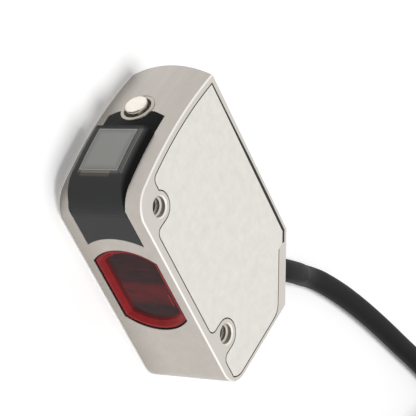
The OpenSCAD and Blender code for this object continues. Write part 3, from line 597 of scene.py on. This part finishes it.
def lofted(name, rings, material, closed=False):
    """A skin through the lens window's outline at several insets and depths. It replaces the
    window's node."""
    verts = [v for inset, depth in rings for v in lens_loop(inset, depth)]
    count = len(verts) // len(rings)
    faces = []
    for k in range(len(rings) - 1):
        for i in range(count):
            a, b = k * count + i, k * count + (i + 1) % count
            faces.append((a, a + count, b + count, b))
    if closed:
        faces.append(tuple(range(count)))
        faces.append(tuple(len(verts) - count + i for i in range(count))[::-1])
    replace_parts(add_mesh(name, verts, faces, material), "lens_window")


def make_lens():
    """Red moulding: a rim, a sloping inner wall in a darker copy of the red that paints the shade
    in the recess, and the dark floor, with a black ring round it that stands in for the shade in
    the gap round the lens. Each pair is an inset and a depth."""
    lofted("lens_rim", [
        (0.18, 1.15), (0.18, 0.24), (0.22, 0.2), (0.6, 0.2), (0.66, 0.24), (1.2, 0.72),
        (1.26, 0.74),
    ], lens_red)
    lofted("lens_wall", [(1.26, 0.74), (1.3, 0.78), (1.6, 1.1), (1.62, 1.15)], lens_red_shaded)
    lofted("lens_floor", [(1.5, 1.1), (1.5, 1.18)], lens_dark, closed=True)
    # A black ring for the shade in the gap round the lens.
    lofted(
        "lens_gap_shade", [(0.02, 0.4), (0.02, 0.14), (0.2, 0.14), (0.2, 0.4)], lens_shade_black,
    )


def make_floor():
    """The white surface on which the sensor lies. The camera, gloss and glass see it glow a little,
    so that it stays white away from the shadow. It lies a hair below the sensor."""
    half = 3
    mesh = bpy.data.meshes.new("floor")
    corners = [(-half, -half, 0), (half, -half, 0), (half, half, 0), (-half, half, 0)]
    mesh.from_pydata(corners, [], [(0, 1, 2, 3)])
    floor = linked("floor", mesh)
    floor.location.z = -0.05 * MM
    material = bpy.data.materials.new("floor_white")
    material.use_nodes = True
    tree = material.node_tree
    shader = tree.nodes["Principled BSDF"]
    shader.inputs["Base Color"].default_value = (0.92, 0.92, 0.92, 1)
    shader.inputs["Roughness"].default_value = 0.9
    shader.inputs["Specular IOR Level"].default_value = 0.1
    glow = tree.nodes.new("ShaderNodeEmission")
    glow.inputs["Strength"].default_value = 0.16
    both = tree.nodes.new("ShaderNodeAddShader")
    path = tree.nodes.new("ShaderNodeLightPath")
    seen = path.outputs["Is Camera Ray"]
    for kind in ("Is Glossy Ray", "Is Transmission Ray"):
        more = tree.nodes.new("ShaderNodeMath")
        more.operation = "MAXIMUM"
        tree.links.new(seen, more.inputs[0])
        tree.links.new(path.outputs[kind], more.inputs[1])
        seen = more.outputs[0]
    pick = tree.nodes.new("ShaderNodeMixShader")
    tree.links.new(seen, pick.inputs["Fac"])
    tree.links.new(shader.outputs[0], both.inputs[0])
    tree.links.new(glow.outputs[0], both.inputs[1])
    tree.links.new(shader.outputs[0], pick.inputs[1])
    tree.links.new(both.outputs[0], pick.inputs[2])
    tree.links.new(pick.outputs[0], tree.nodes["Material Output"].inputs["Surface"])
    mesh.materials.append(material)


def make_world():
    """A pale room, whiter where metal, glass and the camera see it than where it lights, with a
    soft box above the front."""
    world = bpy.data.worlds.new("studio")
    world.use_nodes = True
    tree = world.node_tree
    seen = tree.nodes["Background"]
    seen.inputs["Color"].default_value = (1, 1, 1, 1)
    place = tree.nodes.new("ShaderNodeTexCoord")
    near = tree.nodes.new("ShaderNodeVectorMath")
    near.operation = "DOT_PRODUCT"
    near.inputs[1].default_value = Vector((-0.5, -0.45, 0.75)).normalized()
    box = tree.nodes.new("ShaderNodeMapRange")
    box.interpolation_type = "SMOOTHSTEP"
    limits = {"From Min": 0.7, "From Max": 0.95, "To Min": 1.0, "To Max": 1.25}
    for name, limit in limits.items():
        box.inputs[name].default_value = limit
    tree.links.new(place.outputs["Generated"], near.inputs[0])
    tree.links.new(near.outputs["Value"], box.inputs["Value"])
    tree.links.new(box.outputs["Result"], seen.inputs["Strength"])
    fill = tree.nodes.new("ShaderNodeBackground")
    fill.inputs["Color"].default_value = (1, 1, 1, 1)
    fill.inputs["Strength"].default_value = 0.3
    path = tree.nodes.new("ShaderNodeLightPath")
    pick = tree.nodes.new("ShaderNodeMixShader")
    tree.links.new(path.outputs["Is Diffuse Ray"], pick.inputs["Fac"])
    tree.links.new(seen.outputs[0], pick.inputs[1])
    tree.links.new(fill.outputs[0], pick.inputs[2])
    tree.links.new(pick.outputs[0], tree.nodes["World Output"].inputs["Surface"])
    bpy.context.scene.world = world


def make_key():
    """A wide soft lamp, nearly overhead and a little to the front. Gloss doesn't show it, only the
    room."""
    data = bpy.data.lights.new("key", "SUN")
    data.energy = 2.05
    data.angle = math.radians(28)
    key = linked("key", data)
    key.location = (-0.06, -0.05, 0.69)
    key.rotation_euler = (-key.location).to_track_quat("-Z", "Y").to_euler()
    key.visible_glossy = False


make_camera()
dress_nodes()
make_cable()
thread("lower_thread", -HOLE_Y)
thread("upper_thread", HOLE_Y)
# Painted shade: a dark strip in the cover's seam.
make_seam_shade()
make_lens()
make_floor()
make_world()
make_key()
bpy.context.scene.view_settings.view_transform = "Standard"
